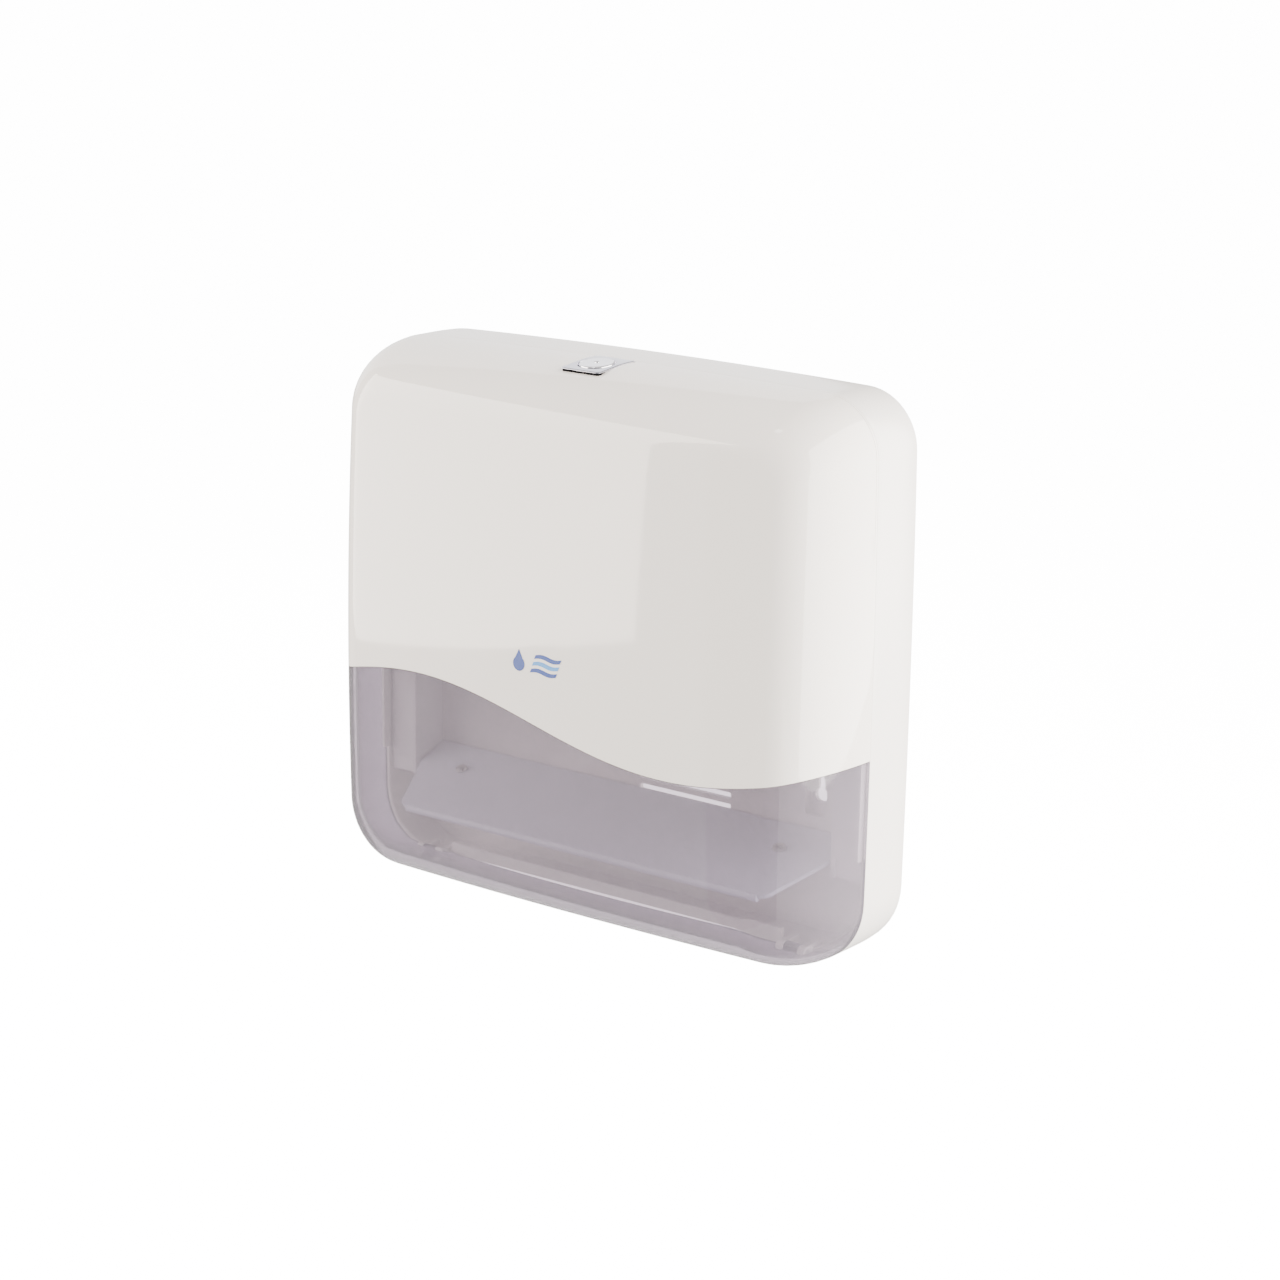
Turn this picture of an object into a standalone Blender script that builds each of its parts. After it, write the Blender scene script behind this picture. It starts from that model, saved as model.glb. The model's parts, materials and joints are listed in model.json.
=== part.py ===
"""Wall-mounted dispenser for folded paper towels.

A back shell hangs on the wall and carries the towel guides, the sloped tray and the catch. A cover of
a white shell and a smoke window drops open on two pins at its lower edge. A spring button on top of the
cover turns a lever that lifts the latch tooth off the catch.
"""
import math

import bmesh
import bpy
from mathutils import Euler, Vector

# All sizes are in metres. +X is right seen from the front, -Y is out of the wall, +Z is up.
# The origin is the middle of the flat pad that rests on the wall.
WIDTH = 0.290
HEIGHT = 0.2631
DEPTH = 0.088
SEAM = 0.033                # depth of the parting plane between the back shell and the cover
WALL = 0.0025
GAP = 0.0003                # clearance between neighbouring pieces
TOP = HEIGHT / 2
BOTTOM = -HEIGHT / 2

# Outline seen from the front
CORNER_TOP = 0.0266
CORNER_BOTTOM = 0.0334
SIDE_BOW = 0.0014
TOP_BOW = 0.0025
BOTTOM_BOW = -0.0034
ARC_STEPS = 5
STRAIGHT_STEPS = 6

# Front of the cover: an elliptic edge, and a face that bulges most across its width
EDGE_IN = 0.0252
EDGE_DEEP = 0.0444
EDGE_STEPS = 5
FACE_RINGS = (0.72, 0.45, 0.2)
TILT = 0.0034
CROWN = 0.0034
SIDE_CROWN = 0.0115

# Back shell
BACK_IN = 0.0014
BACK_DEEP = 0.019
BACK_STEPS = 3
PLATE_BACK = 0.0085
PLATE_FRONT = 0.011
RIM = 0.0042                # thickness of the shell's side wall, seen from the front as its rim
SHELL_FRONT = 0.0329
LIP_HEIGHT = 0.0087
LIP_HALF = 0.100
KEYHOLES = ((-0.085, 0.080), (0.085, 0.080), (0.1014, -0.0603))
KEYHOLE_PAD = (0.0085, 0.0150)
CENTRE_PAD = (0.030, 0.022)
PAD_RIM = 0.0027
KEYHOLE_FLOOR = (0.0046, 0.0066)
CENTRE_FLOOR = (0, 0.003)
GUIDE_FRONT = 0.032
GUIDE_INNER = 0.124
GUIDE_OUTER = 0.1394
GUIDE_SCREWS_Z = (-0.012, 0.085)
GUIDE_SCREW_X = 0.1315

# Line between the white shell and the window
WAVE_MIDDLE = BOTTOM + 0.0988
WAVE_RISE = 0.0122
WAVE_LENGTH = 0.292
TONGUE_UP = 0.009
TONGUE_DOWN = 0.006
TONGUE_THICK = 0.0016
CLIP_X = (-0.075, -0.025, 0.025, 0.075)
CLIP_UP = 0.0045

# Hinge of the cover
AXIS_Y = -0.0374
AXIS_Z = BOTTOM + 0.002
KNUCKLE = 0.0033
SWEEP = 0.0041              # the cover's lower rear edge stays within this distance of the axis
KNUCKLE_X = (0.1020, 0.1055, 0.1059, 0.1131, 0.1135, 0.1170)
PIN_RADIUS = 0.0015
PIN_HOLE = 0.00165
CUT_FRONT = 0.0416
MOUTH_HALF = 0.100
MOUTH_DEEP = 0.0122

# Tray that the towels lie on
TRAY_BACK = Vector((0, -0.0125, BOTTOM + 0.0525))
TRAY_SLOPE = math.radians(21.7)
TRAY_LENGTH = 0.0515
TRAY_HALF = 0.1222
TRAY_FRONT_HALF = 0.111
TRAY_THICK = 0.002
TRAY_SCREW = (0.096, -0.018)

# Lock, in its own frame: x across, y up the slope towards the wall, z out of the cover
LOCK_Y = -0.0485
LOCK_SLOPE = math.radians(6.5)
PLATE_HALF = 0.0115
PLATE_Y = (-0.0613, -0.0336)
CAP_RADIUS = 0.0083
CAP_TOP = 0.0010
CAP_BOTTOM = -0.0032
WELL_RADIUS = 0.0092
PAD_BOTTOM = -0.0060
WELL_FLOOR = -0.0105
HOUSING_BOTTOM = -0.0125
HOUSING_HALF = (0.0165, 0.0130)
LEVER_PIVOT = Vector((0, 0.0115, -0.0160))
LEVER_HALF = 0.0055
LATCH_PIN = 0.00125
STEM_RADIUS = 0.0028
STEM_THIN = 0.0018
LOCK_SCREW_X = 0.0128
CATCH_HALF = 0.014
CATCH_SCREW = (0.009, BOTTOM + 0.2285)

PARTS = "Paper towel dispenser"
CUTTERS = "Cutters"


def clear_scene():
    for thing in list(bpy.data.objects):
        bpy.data.objects.remove(thing, do_unlink=True)


def new_collection(name):
    collection = bpy.data.collections.new(name)
    bpy.context.scene.collection.children.link(collection)
    return collection


def material(name, colour, roughness, metallic=0.0, alpha=1.0):
    made = bpy.data.materials.new(name)
    made.use_nodes = True
    shader = made.node_tree.nodes["Principled BSDF"]
    shader.inputs["Base Color"].default_value = (*colour, 1.0)
    shader.inputs["Roughness"].default_value = roughness
    shader.inputs["Metallic"].default_value = metallic
    shader.inputs["Alpha"].default_value = alpha
    return made


def place(thing, parent=None, location=(0, 0, 0), rotation=(0, 0, 0)):
    thing.parent = parent
    thing.location = location
    thing.rotation_euler = rotation
    return thing


def add_object(name, mesh, look=None):
    """A piece of the dispenser when it has a look, and a cutter when it has none."""
    thing = bpy.data.objects.new(name, mesh)
    if look is None:
        bpy.data.collections[CUTTERS].objects.link(thing)
        thing.hide_render = True
        thing.display_type = "WIRE"
    else:
        bpy.data.collections[PARTS].objects.link(thing)
        mesh.materials.append(look)
    return thing


def finish_mesh(name, bm):
    bmesh.ops.recalc_face_normals(bm, faces=bm.faces)
    mesh = bpy.data.meshes.new(name)
    bm.to_mesh(mesh)
    bm.free()
    return mesh


def box(name, low, high, look=None):
    bm = bmesh.new()
    bmesh.ops.create_cube(bm, size=1.0)
    for vert in bm.verts:
        for k in range(3):
            vert.co[k] = low[k] if vert.co[k] < 0 else high[k]
    return add_object(name, finish_mesh(name, bm), look)


def rod(name, start, end, radius, look=None, sides=24):
    """A round bar between two points."""
    start = Vector(start)
    end = Vector(end)
    bm = bmesh.new()
    bmesh.ops.create_cone(
        bm, cap_ends=True, segments=sides, radius1=radius, radius2=radius, depth=(end - start).length
    )
    turn = (end - start).to_track_quat("Z", "Y").to_matrix()
    bmesh.ops.rotate(bm, verts=bm.verts, matrix=turn)
    bmesh.ops.translate(bm, verts=bm.verts, vec=(start + end) / 2)
    mesh = finish_mesh(name, bm)
    mesh.shade_smooth()
    mesh.set_sharp_from_angle(angle=math.radians(40))
    return add_object(name, mesh, look)


def ring_solid(name, start, end, inner, outer, look, frame=None):
    """A flat ring between two points of its frame."""
    ring = rod(name, start, end, outer, look)
    middle = (Vector(start) + Vector(end)) / 2
    reach = Vector(end) - Vector(start)
    hole = rod(name + "_hole", middle - reach * 2, middle + reach * 2, inner)
    cut(ring, place(hole, frame))
    return place(ring, frame)


def turned(name, profile, look, steps=16):
    """A solid of revolution about local Z, from a profile listed from top to bottom."""
    mesh = bpy.data.meshes.new(name)
    edges = [(k, k + 1) for k in range(len(profile) - 1)]
    mesh.from_pydata([(radius, 0, z) for radius, z in profile], edges, [])
    thing = add_object(name, mesh, look)
    screw = thing.modifiers.new("Turn", "SCREW")
    screw.steps = steps
    screw.render_steps = steps
    screw.use_merge_vertices = True
    screw.merge_threshold = 0.00001
    return thing


def prism(name, outline, thickness, look=None, turn=(0, 0, 0), middle=(0, 0, 0)):
    """A flat outline with a thickness, as a mesh in its parent's axes."""
    curve = bpy.data.curves.new(name, "CURVE")
    curve.dimensions = "2D"
    curve.fill_mode = "BOTH"
    curve.extrude = thickness / 2
    spline = curve.splines.new("POLY")
    spline.points.add(len(outline) - 1)
    for point, (x, y) in zip(spline.points, outline):
        point.co = (x, y, 0, 1)
    spline.use_cyclic_u = True
    flat = bpy.data.objects.new(name + "_outline", curve)
    bpy.context.scene.collection.objects.link(flat)
    bpy.context.view_layer.update()
    mesh = bpy.data.meshes.new_from_object(flat.evaluated_get(bpy.context.evaluated_depsgraph_get()))
    bpy.data.objects.remove(flat, do_unlink=True)
    bm = bmesh.new()
    bm.from_mesh(mesh)
    bmesh.ops.remove_doubles(bm, verts=bm.verts, dist=0.00001)
    bmesh.ops.rotate(bm, verts=bm.verts, matrix=Euler(turn).to_matrix())
    bmesh.ops.translate(bm, verts=bm.verts, vec=middle)
    mesh.materials.clear()
    bmesh.ops.recalc_face_normals(bm, faces=bm.faces)
    bm.to_mesh(mesh)
    bm.free()
    mesh.name = name
    return add_object(name, mesh, look)


FACE_FRONT = (math.radians(90), 0, 0)                   # outline x, y becomes X, Z
FACE_SIDE = (math.radians(90), 0, math.radians(90))     # outline x, y becomes Y, Z


def combine(target, other, operation):
    modifier = target.modifiers.new(other.name, "BOOLEAN")
    modifier.operation = operation
    modifier.object = other
    modifier.solver = "EXACT"


def cut(target, *cutters):
    for cutter in cutters:
        combine(target, cutter, "DIFFERENCE")


def join(target, *others):
    for other in others:
        combine(target, other, "UNION")


def keep_inside(target, other):
    combine(target, other, "INTERSECT")


def bow(x, z):
    """The slight arches of the outline's four sides."""
    rise = 2 * z / HEIGHT
    across = 2 * x / WIDTH
    bowed_x = x - math.copysign(SIDE_BOW * rise * rise * min(1, abs(across)), x)
    edge = TOP_BOW if z > 0 else BOTTOM_BOW
    return bowed_x, z - edge * across * across * rise


def outline(inset):
    """The front-view outline, moved inwards, as points counted anticlockwise from the lower right."""
    corners = ((1, -1, CORNER_BOTTOM), (1, 1, CORNER_TOP), (-1, 1, CORNER_TOP), (-1, -1, CORNER_BOTTOM))
    arcs = []
    for index, (side, end, corner) in enumerate(corners):
        radius = max(corner - 0.6 * inset, 0.006)
        centre_x = side * (WIDTH / 2 - inset - radius)
        centre_z = end * (HEIGHT / 2 - inset - radius)
        arc = []
        for k in range(ARC_STEPS + 1):
            angle = math.radians(90) * (index - 1 + k / ARC_STEPS)
            arc.append((centre_x + radius * math.cos(angle), centre_z + radius * math.sin(angle)))
        arcs.append(arc)
    points = []
    for arc, following in zip(arcs, arcs[1:] + arcs[:1]):
        points.extend(arc)
        start = arc[-1]
        end = following[0]
        for k in range(1, STRAIGHT_STEPS):
            share = k / STRAIGHT_STEPS
            points.append((start[0] + (end[0] - start[0]) * share, start[1] + (end[1] - start[1]) * share))
    return [bow(x, z) for x, z in points]


def face_y(x, z):
    """Where the outer front face of the cover lies."""
    rise = z / HEIGHT
    return -(DEPTH - TILT * rise - CROWN * (2 * rise) ** 2 - SIDE_CROWN * (2 * x / WIDTH) ** 2)


def cover_rings(offset, back_y):
    """Sections of the cover from back to front, set inwards by the offset."""
    rings = [[(x, back_y, z) for x, z in outline(offset)]]
    least = -SEAM - 0.0012
    for step in range(EDGE_STEPS + 1):
        angle = math.radians(90) * step / EDGE_STEPS
        points = outline(offset + EDGE_IN * (1 - math.cos(angle)))
        back = offset + EDGE_DEEP * (1 - math.sin(angle))
        rings.append([(x, min(face_y(x, z) + back, least), z) for x, z in points])
    for scale in FACE_RINGS:
        rings.append([(x * scale, face_y(x * scale, z * scale) + offset, z * scale) for x, z in points])
    return rings


def shell_rings():
    """Sections of the back shell from the wall to the parting plane."""
    rings = []
    for step in range(BACK_STEPS + 1):
        angle = math.radians(90) * step / BACK_STEPS
        inset = BACK_IN * (1 - math.sin(angle))
        rings.append([(x, -BACK_DEEP * (1 - math.cos(angle)), z) for x, z in outline(inset)])
    rings.append([(x, -SHELL_FRONT, z) for x, z in outline(0)])
    return rings


def loft(name, rings, look=None):
    bm = bmesh.new()
    rows = [[bm.verts.new(point) for point in ring] for ring in rings]
    count = len(rows[0])
    for row, following in zip(rows, rows[1:]):
        for k in range(count):
            after = (k + 1) % count
            bm.faces.new((row[k], row[after], following[after], following[k]))
    bm.faces.new(rows[0])
    bm.faces.new(rows[-1])
    return add_object(name, finish_mesh(name, bm), look)


def wave_z(x):
    return WAVE_MIDDLE - WAVE_RISE * math.sin(2 * math.pi * x / WAVE_LENGTH)


def below_wave(name, shift):
    """Everything under the wave line, moved up by the shift."""
    half = WIDTH / 2 + 0.015
    count = 32
    points = [(-half, BOTTOM - 0.03), (half, BOTTOM - 0.03)]
    for k in range(count + 1):
        x = half - 2 * half * k / count
        points.append((x, wave_z(x) + shift))
    return prism(name, points, 0.09, turn=FACE_FRONT, middle=(0, -0.070, 0))


def top_z(y):
    """Height of the cover's outer top surface along its middle."""
    depth = DEPTH - TILT / 2 - CROWN
    into = max(0.0, (-y - depth + EDGE_DEEP) / EDGE_DEEP)
    return TOP - EDGE_IN * (1 - math.sqrt(1 - into * into))


def keyhole_outline(x, z):
    """A round opening for the screw's head, with a narrow slot above it."""
    head = 0.0034
    neck = 0.0018
    low = z - 0.0030
    high = z + 0.0046
    half_angle = math.asin(neck / head)
    points = []
    for k in range(13):
        angle = math.radians(90) + half_angle + (math.radians(360) - 2 * half_angle) * k / 12
        points.append((x + head * math.cos(angle), low + head * math.sin(angle)))
    for k in range(7):
        angle = math.radians(180) * k / 6
        points.append((x + neck * math.cos(angle), high + neck * math.sin(angle)))
    return points


def screw(name, location, direction, look, parent=None, head=0.003, shank=0.0015, length=0.008):
    """A pan-head screw: its location is under the head, and its direction is where the tip points."""
    dome = head * 0.62
    profile = [(0, dome), (head * 0.55, dome * 0.92), (head * 0.9, dome * 0.6), (head, dome * 0.15), (head, 0)]
    profile += [(shank, 0), (shank, -length + shank), (0, -length)]
    thing = turned(name, profile, look, steps=14)
    thing.rotation_mode = "XYZ"
    tilt = Vector(direction).to_track_quat("-Z", "Y").to_euler()
    return place(thing, parent, location, tilt)


def make_back_shell(look, tray_frame):
    shell = loft("back_shell", shell_rings(), look)
    front = [(x, -PLATE_FRONT, z) for x, z in outline(RIM)]
    mouth = [(x, -SEAM - 0.01, z) for x, z in outline(RIM)]
    cut(shell, loft("front_hollow", [front, mouth]))

    behind = [(x, 0.01, z) for x, z in outline(BACK_IN + WALL)]
    under = [(x, -PLATE_BACK, z) for x, z in outline(BACK_IN + WALL)]
    hollow = loft("rear_hollow", [behind, under])
    pads = [(0, 0, *CENTRE_PAD, CENTRE_FLOOR)]
    pads += [(x, z, *KEYHOLE_PAD, KEYHOLE_FLOOR) for x, z in KEYHOLES]
    bosses = [(side * GUIDE_SCREW_X, z) for side in (-1, 1) for z in GUIDE_SCREWS_Z]
    bosses += [(side * CATCH_SCREW[0], CATCH_SCREW[1]) for side in (-1, 1)]
    blocks = [pad[0:4] for pad in pads] + [(x, z, 0.005, 0.005) for x, z in bosses]
    for index, (x, z, half_x, half_z) in enumerate(blocks):
        low = (x - half_x, -PLATE_BACK - 0.002, z - half_z)
        high = (x + half_x, 0.02, z + half_z)
        cut(hollow, box(f"pad_{index}", low, high))
    cut(shell, hollow)
    for index, (x, z, half_x, half_z, floor) in enumerate(pads):
        left = x - half_x + PAD_RIM
        right = x + half_x - PAD_RIM
        low_z = z - half_z + PAD_RIM
        high_z = z + half_z - PAD_RIM
        cut(shell, box(f"pocket_{index}", (left, -PLATE_FRONT - 0.002, low_z), (right, -floor[1], high_z)))
        if floor[0] > 0:
            cut(shell, box(f"rear_pocket_{index}", (left, -floor[0], low_z), (right, 0.002, high_z)))
    for index, (x, z) in enumerate(KEYHOLES):
        points = keyhole_outline(x, z)
        cut(shell, prism(f"keyhole_{index}", points, 4 * PLATE_BACK, turn=FACE_FRONT))
    for index, (x, z) in enumerate(bosses):
        cut(shell, rod(f"boss_hole_{index}", (x, -0.012, z), (x, -0.0032, z), 0.0018, sides=12))
    for index, low_z in enumerate((BOTTOM + 0.0520, BOTTOM + 0.0576)):
        cut(shell, box(f"vent_{index}", (0.0005, -0.013, low_z), (0.0540, -0.006, low_z + 0.003)))

    lip = box("lip", (-LIP_HALF, -SHELL_FRONT, BOTTOM + 0.0008), (LIP_HALF, -0.0309, BOTTOM + LIP_HEIGHT))
    join(shell, lip)
    for side in (-1, 1):
        x = side * TRAY_SCREW[0]
        gusset = box(f"gusset_{side}", (x - 0.005, -0.027, -0.012), (x + 0.005, 0.003, -TRAY_THICK / 2 - GAP))
        hole = rod(f"gusset_hole_{side}", (x, TRAY_SCREW[1], -0.0095), (x, TRAY_SCREW[1], 0.002), 0.0018, sides=12)
        join(shell, place(gusset, tray_frame))
        cut(shell, place(hole, tray_frame))
        for start, end in (KNUCKLE_X[0:2], KNUCKLE_X[4:6]):
            xs = sorted((side * start, side * end))
            barrel = rod(f"barrel_{side}_{start}", (xs[0], AXIS_Y, AXIS_Z), (xs[1], AXIS_Y, AXIS_Z), KNUCKLE)
            low = (xs[0] + 0.0001, AXIS_Y, AXIS_Z - KNUCKLE + 0.0002)
            web = box(f"web_{side}_{start}", low, (xs[1] - 0.0001, -0.026, AXIS_Z + KNUCKLE - 0.0002))
            join(shell, barrel, web)
        xs = sorted((side * (KNUCKLE_X[0] - 0.002), side * (KNUCKLE_X[5] + 0.002)))
        cut(shell, rod(f"pin_hole_{side}", (xs[0], AXIS_Y, AXIS_Z), (xs[1], AXIS_Y, AXIS_Z), PIN_HOLE))
    return shell


def make_guides(look, metal):
    """Two channels that hold the towel stack between them."""
    for side, label in ((-1, "left"), (1, "right")):
        inner = GUIDE_INNER
        wall = 0.0018
        foot = -PLATE_FRONT - GAP
        points = (
            (inner, foot),
            (inner, -GUIDE_FRONT),
            (GUIDE_OUTER, -GUIDE_FRONT),
            (GUIDE_OUTER, -GUIDE_FRONT + wall),
            (inner + wall, -GUIDE_FRONT + wall),
            (inner + wall, foot - wall),
            (0.1370, foot - wall),
            (0.1370, foot),
        )
        low = BOTTOM + 0.0400
        high = BOTTOM + 0.2340
        mirrored = [(side * x, y) for x, y in points]
        guide = prism(f"towel_guide_{label}", mirrored, high - low, look, middle=(0, 0, (low + high) / 2))
        xs = sorted((side * (inner + wall + 0.0004), side * 0.142))
        ledge_y = -GUIDE_FRONT + wall / 2
        cut(guide, box(f"ledge_{label}", (xs[0], ledge_y - 0.005, low - 0.01), (xs[1], ledge_y, BOTTOM + 0.0490)))
        for number, z in enumerate(GUIDE_SCREWS_Z, 1):
            x = side * GUIDE_SCREW_X
            cut(guide, rod(f"access_{label}_{number}", (x, -0.036, z), (x, -0.022, z), 0.0036, sides=16))
            cut(guide, rod(f"foot_hole_{label}_{number}", (x, -0.020, z), (x, -0.008, z), 0.0018, sides=12))
            under_head = (x, foot - wall - GAP, z)
            screw(f"guide_screw_{label}_{number}", under_head, (0, 1, 0), metal, length=0.0085)


def make_tray(look, metal, frame):
    """A sloped shelf with narrowed front corners and a rounded front lip."""
    shoulder = 0.018
    corner = 0.006
    half = []
    for k in range(5):
        angle = math.radians(90) * k / 4
        x = TRAY_FRONT_HALF - corner + corner * math.cos(angle)
        y = -TRAY_LENGTH + corner - corner * math.sin(angle)
        half.append((x, y))
    right = [(TRAY_HALF, 0), (TRAY_HALF, -shoulder)] + half
    points = right + [(-x, y) for x, y in reversed(right)]
    tray = prism("towel_tray", points, TRAY_THICK, look)
    reach = TRAY_FRONT_HALF - corner
    front = -TRAY_LENGTH + 0.0008
    lip = rod("tray_lip", (-reach, front, -0.0010), (reach, front, -0.0010), 0.0021, sides=16)
    join(tray, place(lip, frame))
    for side, label in ((-1, "left"), (1, "right")):
        x = side * TRAY_SCREW[0]
        y = TRAY_SCREW[1]
        hole = rod(f"tray_hole_{label}", (x, y, -0.004), (x, y, 0.004), 0.0018, sides=12)
        cut(tray, place(hole, frame))
        under_head = (x, y, TRAY_THICK / 2 + GAP)
        screw(f"tray_screw_{label}", under_head, (0, 0, -1), metal, frame)
    return place(tray, frame)


def make_catch(look, metal):
    """A bent steel bracket behind the top edge, with an upturned lip."""
    sheet = 0.0015
    back = -PLATE_FRONT - GAP
    front = -0.0244
    shelf = BOTTOM + 0.2385
    points = (
        (back, BOTTOM + 0.2220),
        (back, shelf + sheet),
        (front + sheet, shelf + sheet),
        (front + sheet, BOTTOM + 0.2443),
        (front, BOTTOM + 0.2443),
        (front, shelf),
        (back - sheet, shelf),
        (back - sheet, BOTTOM + 0.2220),
    )
    catch = prism("catch_bracket", points, 2 * CATCH_HALF, look, turn=FACE_SIDE)
    for side, label in ((-1, "left"), (1, "right")):
        x = side * CATCH_SCREW[0]
        z = CATCH_SCREW[1]
        cut(catch, rod(f"catch_hole_{label}", (x, -0.016, z), (x, -0.008, z), 0.0018, sides=12))
        screw(f"catch_screw_{label}", (x, back - sheet - GAP, z), (0, 1, 0), metal)
    return catch


def cover_blank(name, look):
    """The whole cover before it is divided into shell and window."""
    blank = loft(name, cover_rings(0, -SEAM - 0.0002), look)
    return blank


def make_cover_shell(look, lock):
    shell = cover_blank("cover_shell", look)
    cut(shell, loft("cover_hollow", cover_rings(WALL, -0.030)))
    cut(shell, below_wave("shell_wave", 0.00015))
    across, along = HOUSING_HALF
    pad = box("lock_pad", (-across, -along - 0.003, PAD_BOTTOM), (across, along, -0.0022))
    join(shell, place(pad, lock))
    count = 8
    floor = []
    for k in range(count + 1):
        y = PLATE_Y[0] - GAP + (PLATE_Y[1] + 0.0020 - PLATE_Y[0]) * k / count
        floor.append((y, top_z(y) - 0.0017))
    roof = [(floor[-1][0], TOP + 0.01), (floor[0][0], TOP + 0.01)]
    cut(shell, prism("plate_recess", floor + roof, 2 * (PLATE_HALF + GAP), turn=FACE_SIDE))
    cut(shell, place(rod("button_bore", (0, 0, -0.02), (0, 0, 0.01), WELL_RADIUS), lock))
    for side in (-1, 1):
        x = side * LOCK_SCREW_X
        cut(shell, place(rod(f"pad_hole_{side}", (x, 0, -0.008), (x, 0, -0.0025), 0.0015, sides=12), lock))
    for index, x in enumerate(CLIP_X):
        z = wave_z(x) + CLIP_UP
        y = face_y(x, z)
        join(shell, rod(f"stud_{index}", (x, y + 0.0020, z), (x, y + 0.0068, z), 0.0015, sides=12))
    return shell


def make_window(look):
    """The lower front, with a tongue behind the white shell and half of the hinge."""
    window = cover_blank("window", look)
    keep_inside(window, below_wave("window_wave", -0.00015))
    tongue = loft("tongue", cover_rings(WALL + GAP, -SEAM - 0.0010))
    keep_inside(tongue, below_wave("tongue_wave", TONGUE_UP))
    join(window, tongue)
    cut(window, loft("tongue_hollow", cover_rings(WALL + GAP + TONGUE_THICK, -0.030)))
    hollow = loft("window_hollow", cover_rings(WALL, -0.030))
    keep_inside(hollow, below_wave("hollow_wave", -TONGUE_DOWN))
    cut(window, hollow)

    count = 16
    mouth = [(MOUTH_HALF, -0.028), (-MOUTH_HALF, -0.028)]
    for k in range(count + 1):
        x = -MOUTH_HALF + 2 * MOUTH_HALF * k / count
        mouth.append((x, -SEAM - MOUTH_DEEP * (1 - (x / MOUTH_HALF) ** 2) - 0.0004))
    cut(window, prism("mouth", mouth, 0.03, middle=(0, 0, BOTTOM)))

    reach = WIDTH / 2 + 0.005
    edge = box("edge_relief", (-reach, AXIS_Y, BOTTOM - 0.03), (reach, -0.028, AXIS_Z))
    cut(edge, rod("edge_round", (-reach - 0.01, AXIS_Y, AXIS_Z), (reach + 0.01, AXIS_Y, AXIS_Z), SWEEP, sides=32))
    cut(window, edge)
    for side in (-1, 1):
        xs = sorted((side * (KNUCKLE_X[0] - 0.0004), side * (KNUCKLE_X[5] + 0.0004)))
        cut(window, box(f"knuckle_room_{side}", (xs[0], -CUT_FRONT, BOTTOM - 0.01), (xs[1], -0.028, AXIS_Z + 0.0042)))
        xs = sorted((side * KNUCKLE_X[2], side * KNUCKLE_X[3]))
        barrel = rod(f"cover_barrel_{side}", (xs[0], AXIS_Y, AXIS_Z), (xs[1], AXIS_Y, AXIS_Z), KNUCKLE)
        low = (xs[0] + 0.0001, -0.0450, AXIS_Z - KNUCKLE + 0.0002)
        web = box(f"cover_web_{side}", low, (xs[1] - 0.0001, AXIS_Y, AXIS_Z - 0.0002))
        join(window, barrel, web)
        xs = sorted((side * (KNUCKLE_X[2] - 0.001), side * (KNUCKLE_X[3] + 0.001)))
        cut(window, rod(f"cover_pin_hole_{side}", (xs[0], AXIS_Y, AXIS_Z), (xs[1], AXIS_Y, AXIS_Z), PIN_HOLE))
    for index, x in enumerate(CLIP_X):
        z = wave_z(x) + CLIP_UP
        y = face_y(x, z)
        cut(window, rod(f"tongue_hole_{index}", (x, y + 0.0012, z), (x, y + 0.0090, z), 0.0019, sides=12))
    return window


def make_window_clips(look, parent):
    for number, x in enumerate(CLIP_X, 1):
        z = wave_z(x) + CLIP_UP
        y = face_y(x, z) + WALL + GAP + TONGUE_THICK + 0.0005
        clip = ring_solid(f"window_clip_{number}", (x, y, z), (x, y + 0.0005, z), 0.0018, 0.0038, look)
        hold(clip, parent)


def make_hinge_pins(look):
    for side, label in ((-1, "left"), (1, "right")):
        xs = sorted((side * (KNUCKLE_X[0] + 0.0001), side * (KNUCKLE_X[5] - 0.0001)))
        rod(f"hinge_pin_{label}", (xs[0], AXIS_Y, AXIS_Z), (xs[1], AXIS_Y, AXIS_Z), PIN_RADIUS, look, sides=20)


def make_escutcheon(look, lock):
    """The bright plate round the button, curved with the top of the cover."""
    count = 8
    upper = []
    for k in range(count + 1):
        y = PLATE_Y[0] + (PLATE_Y[1] - PLATE_Y[0]) * k / count
        upper.append((y, top_z(y) + 0.0006))
    lower = [(y, z - 0.0020) for y, z in reversed(upper)]
    plate = prism("lock_escutcheon", upper + lower, 2 * PLATE_HALF, look, turn=FACE_SIDE)
    cut(plate, place(rod("plate_bore", (0, 0, -0.02), (0, 0, 0.01), CAP_RADIUS + 0.0006), lock))
    return plate


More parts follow.
